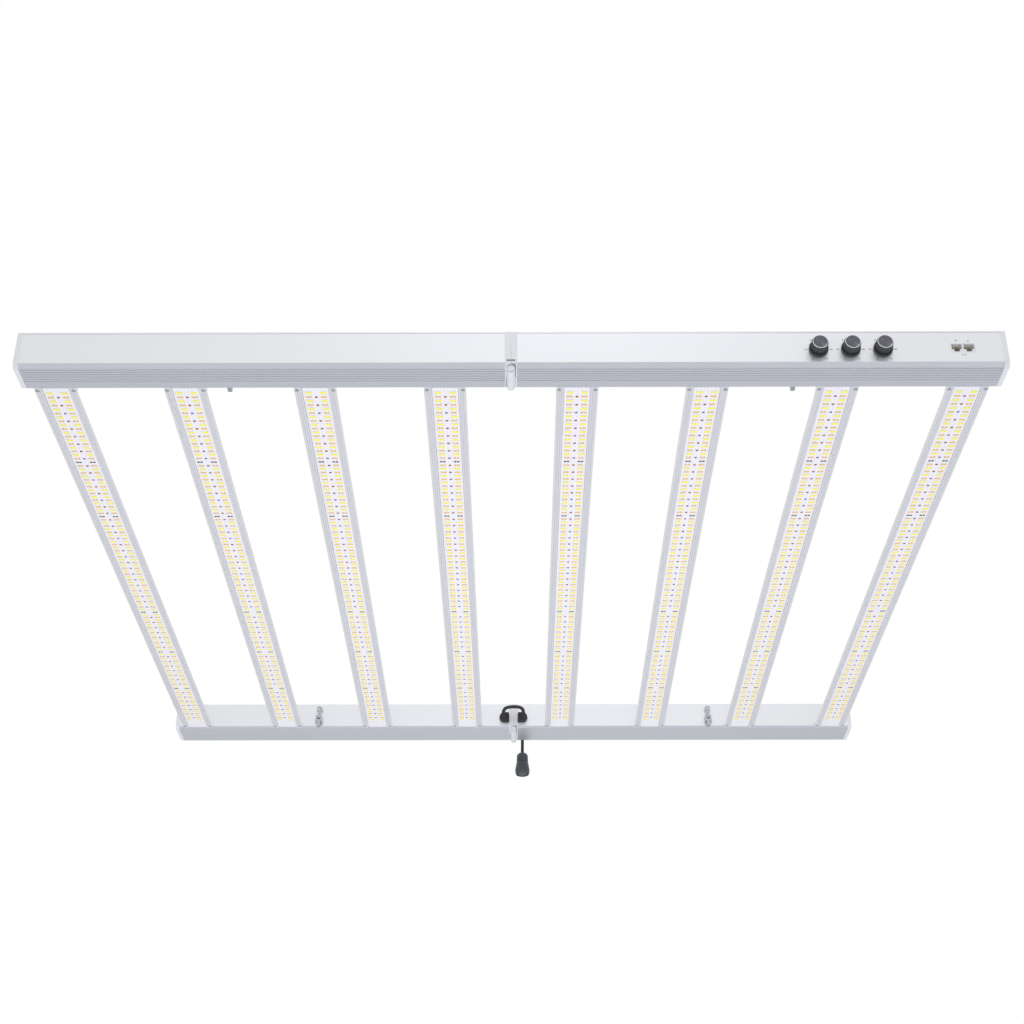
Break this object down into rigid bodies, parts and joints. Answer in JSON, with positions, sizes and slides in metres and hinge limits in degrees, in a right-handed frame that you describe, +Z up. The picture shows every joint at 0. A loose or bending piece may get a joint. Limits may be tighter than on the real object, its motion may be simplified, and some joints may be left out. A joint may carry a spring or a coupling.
{
  "type": "led grow light",
  "caption": "Folding LED grow light: bars between a control rail and a feed rail, in two hinged halves, with dimmer knobs, hanging hooks and a mains pigtail.",
  "frame": {"origin": "middle of the four hanging hooks' eyes, on the fold line halfway between the rails", "axes": "+X along the rails towards the half with the controls, +Y from the driver rail to the feed rail, +Z up; the LEDs face -Z"},
  "size_m": [1.128, 1.1777, 0.0927],
  "materials": {
    "anodised_rail": "satin silver anodised, fine extrusion lines",
    "bar_anodised": "satin silver anodised extrusion",
    "cap_paint": "satin silver-white paint on die-cast plate",
    "led_board": "white solder mask on an aluminium-core board, coated",
    "pin_steel": "bright turned steel",
    "hook_steel": "nickel plated spring wire",
    "zinc": "zinc plated",
    "potting": "potted power module",
    "circuit_board": "green solder mask",
    "port_plastic": "light grey moulded socket block",
    "knob_black": "black moulded knurled grip",
    "knob_metal": "spun gunmetal disc with a bright rim",
    "black_rubber": "matte black",
    "black_plastic": "black nylon, faint moulding texture"
  },
  "bodies": {
    "right_frame": {"driver_rail_right": "anodised_rail", "driver_end_cap_right": "cap_paint", "driver_hinge_plate_right": "cap_paint", "feed_rail_right": "anodised_rail", "feed_end_cap_right": "cap_paint", "feed_hinge_plate_right": "cap_paint", "screws_right": "zinc", "driver_module_right": "potting", "jumper_boot_right": "black_rubber", "hanger_posts_right": "zinc", "bar_5": "bar_anodised", "led_board_5": "led_board", "bar_6": "bar_anodised", "led_board_6": "led_board", "bar_7": "bar_anodised", "led_board_7": "led_board", "bar_8": "bar_anodised", "led_board_8": "led_board", "driver_hinge_pin": "pin_steel", "feed_hinge_pin": "pin_steel", "control_board": "circuit_board", "dimmer_pots": "zinc", "data_ports": "port_plastic", "jumper_cable": "black_rubber", "mains_gland": "black_plastic", "mains_cord": "black_rubber", "connector_gland_nut": "black_plastic", "connector_insert": "black_plastic"},
    "left_frame": {"driver_rail_left": "anodised_rail", "driver_end_cap_left": "cap_paint", "driver_hinge_plate_left": "cap_paint", "feed_rail_left": "anodised_rail", "feed_end_cap_left": "cap_paint", "feed_hinge_plate_left": "cap_paint", "screws_left": "zinc", "driver_module_left": "potting", "jumper_boot_left": "black_rubber", "hanger_posts_left": "zinc", "bar_1": "bar_anodised", "led_board_1": "led_board", "bar_2": "bar_anodised", "led_board_2": "led_board", "bar_3": "bar_anodised", "led_board_3": "led_board", "bar_4": "bar_anodised", "led_board_4": "led_board"},
    "coupling_nut": {"coupling_nut": "black_plastic"},
    "knob_1": {"knob_1": "knob_black", "knob_cap_1": "knob_metal", "knob_shaft_1": "pin_steel"},
    "knob_2": {"knob_2": "knob_black", "knob_cap_2": "knob_metal", "knob_shaft_2": "pin_steel"},
    "knob_3": {"knob_3": "knob_black", "knob_cap_3": "knob_metal", "knob_shaft_3": "pin_steel"},
    "driver_hook_left": {"driver_hook_left": "hook_steel"},
    "driver_hook_right": {"driver_hook_right": "hook_steel"},
    "feed_hook_left": {"feed_hook_left": "hook_steel"},
    "feed_hook_right": {"feed_hook_right": "hook_steel"}
  },
  "joints": [
    {"name": "fold", "type": "hinge", "parent": "right_frame", "child": "left_frame", "pos_m": [0, 0, -0.0325], "axis": [0, -1, 0], "range_deg": [0, 180], "deforming": ["jumper_cable"]},
    {"name": "knob_1_turn", "type": "hinge", "parent": "right_frame", "child": "knob_1", "pos_m": [0.349, -0.54625, -0.0099], "axis": [0, -1, 0], "range_deg": [-150, 150]},
    {"name": "knob_2_turn", "type": "hinge", "parent": "right_frame", "child": "knob_2", "pos_m": [0.3856, -0.54625, -0.0099], "axis": [0, -1, 0], "range_deg": [-150, 150]},
    {"name": "knob_3_turn", "type": "hinge", "parent": "right_frame", "child": "knob_3", "pos_m": [0.4222, -0.54625, -0.0099], "axis": [0, -1, 0], "range_deg": [-150, 150]},
    {"name": "driver_hook_left_swing", "type": "hinge", "parent": "left_frame", "child": "driver_hook_left", "pos_m": [-0.325, -0.49825, -0.015], "axis": [-1, 0, 0], "range_deg": [-8, 95]},
    {"name": "driver_hook_right_swing", "type": "hinge", "parent": "right_frame", "child": "driver_hook_right", "pos_m": [0.325, -0.49825, -0.015], "axis": [-1, 0, 0], "range_deg": [-8, 95]},
    {"name": "feed_hook_left_swing", "type": "hinge", "parent": "left_frame", "child": "feed_hook_left", "pos_m": [-0.325, 0.49825, -0.015], "axis": [1, 0, 0], "range_deg": [-8, 95]},
    {"name": "feed_hook_right_swing", "type": "hinge", "parent": "right_frame", "child": "feed_hook_right", "pos_m": [0.325, 0.49825, -0.015], "axis": [1, 0, 0], "range_deg": [-8, 95]},
    {"name": "coupling_nut_turn", "type": "hinge", "parent": "right_frame", "child": "coupling_nut", "pos_m": [0.015, 0.6032, -0.0655], "axis": [0, 0, 1], "continuous": true}
  ]
}
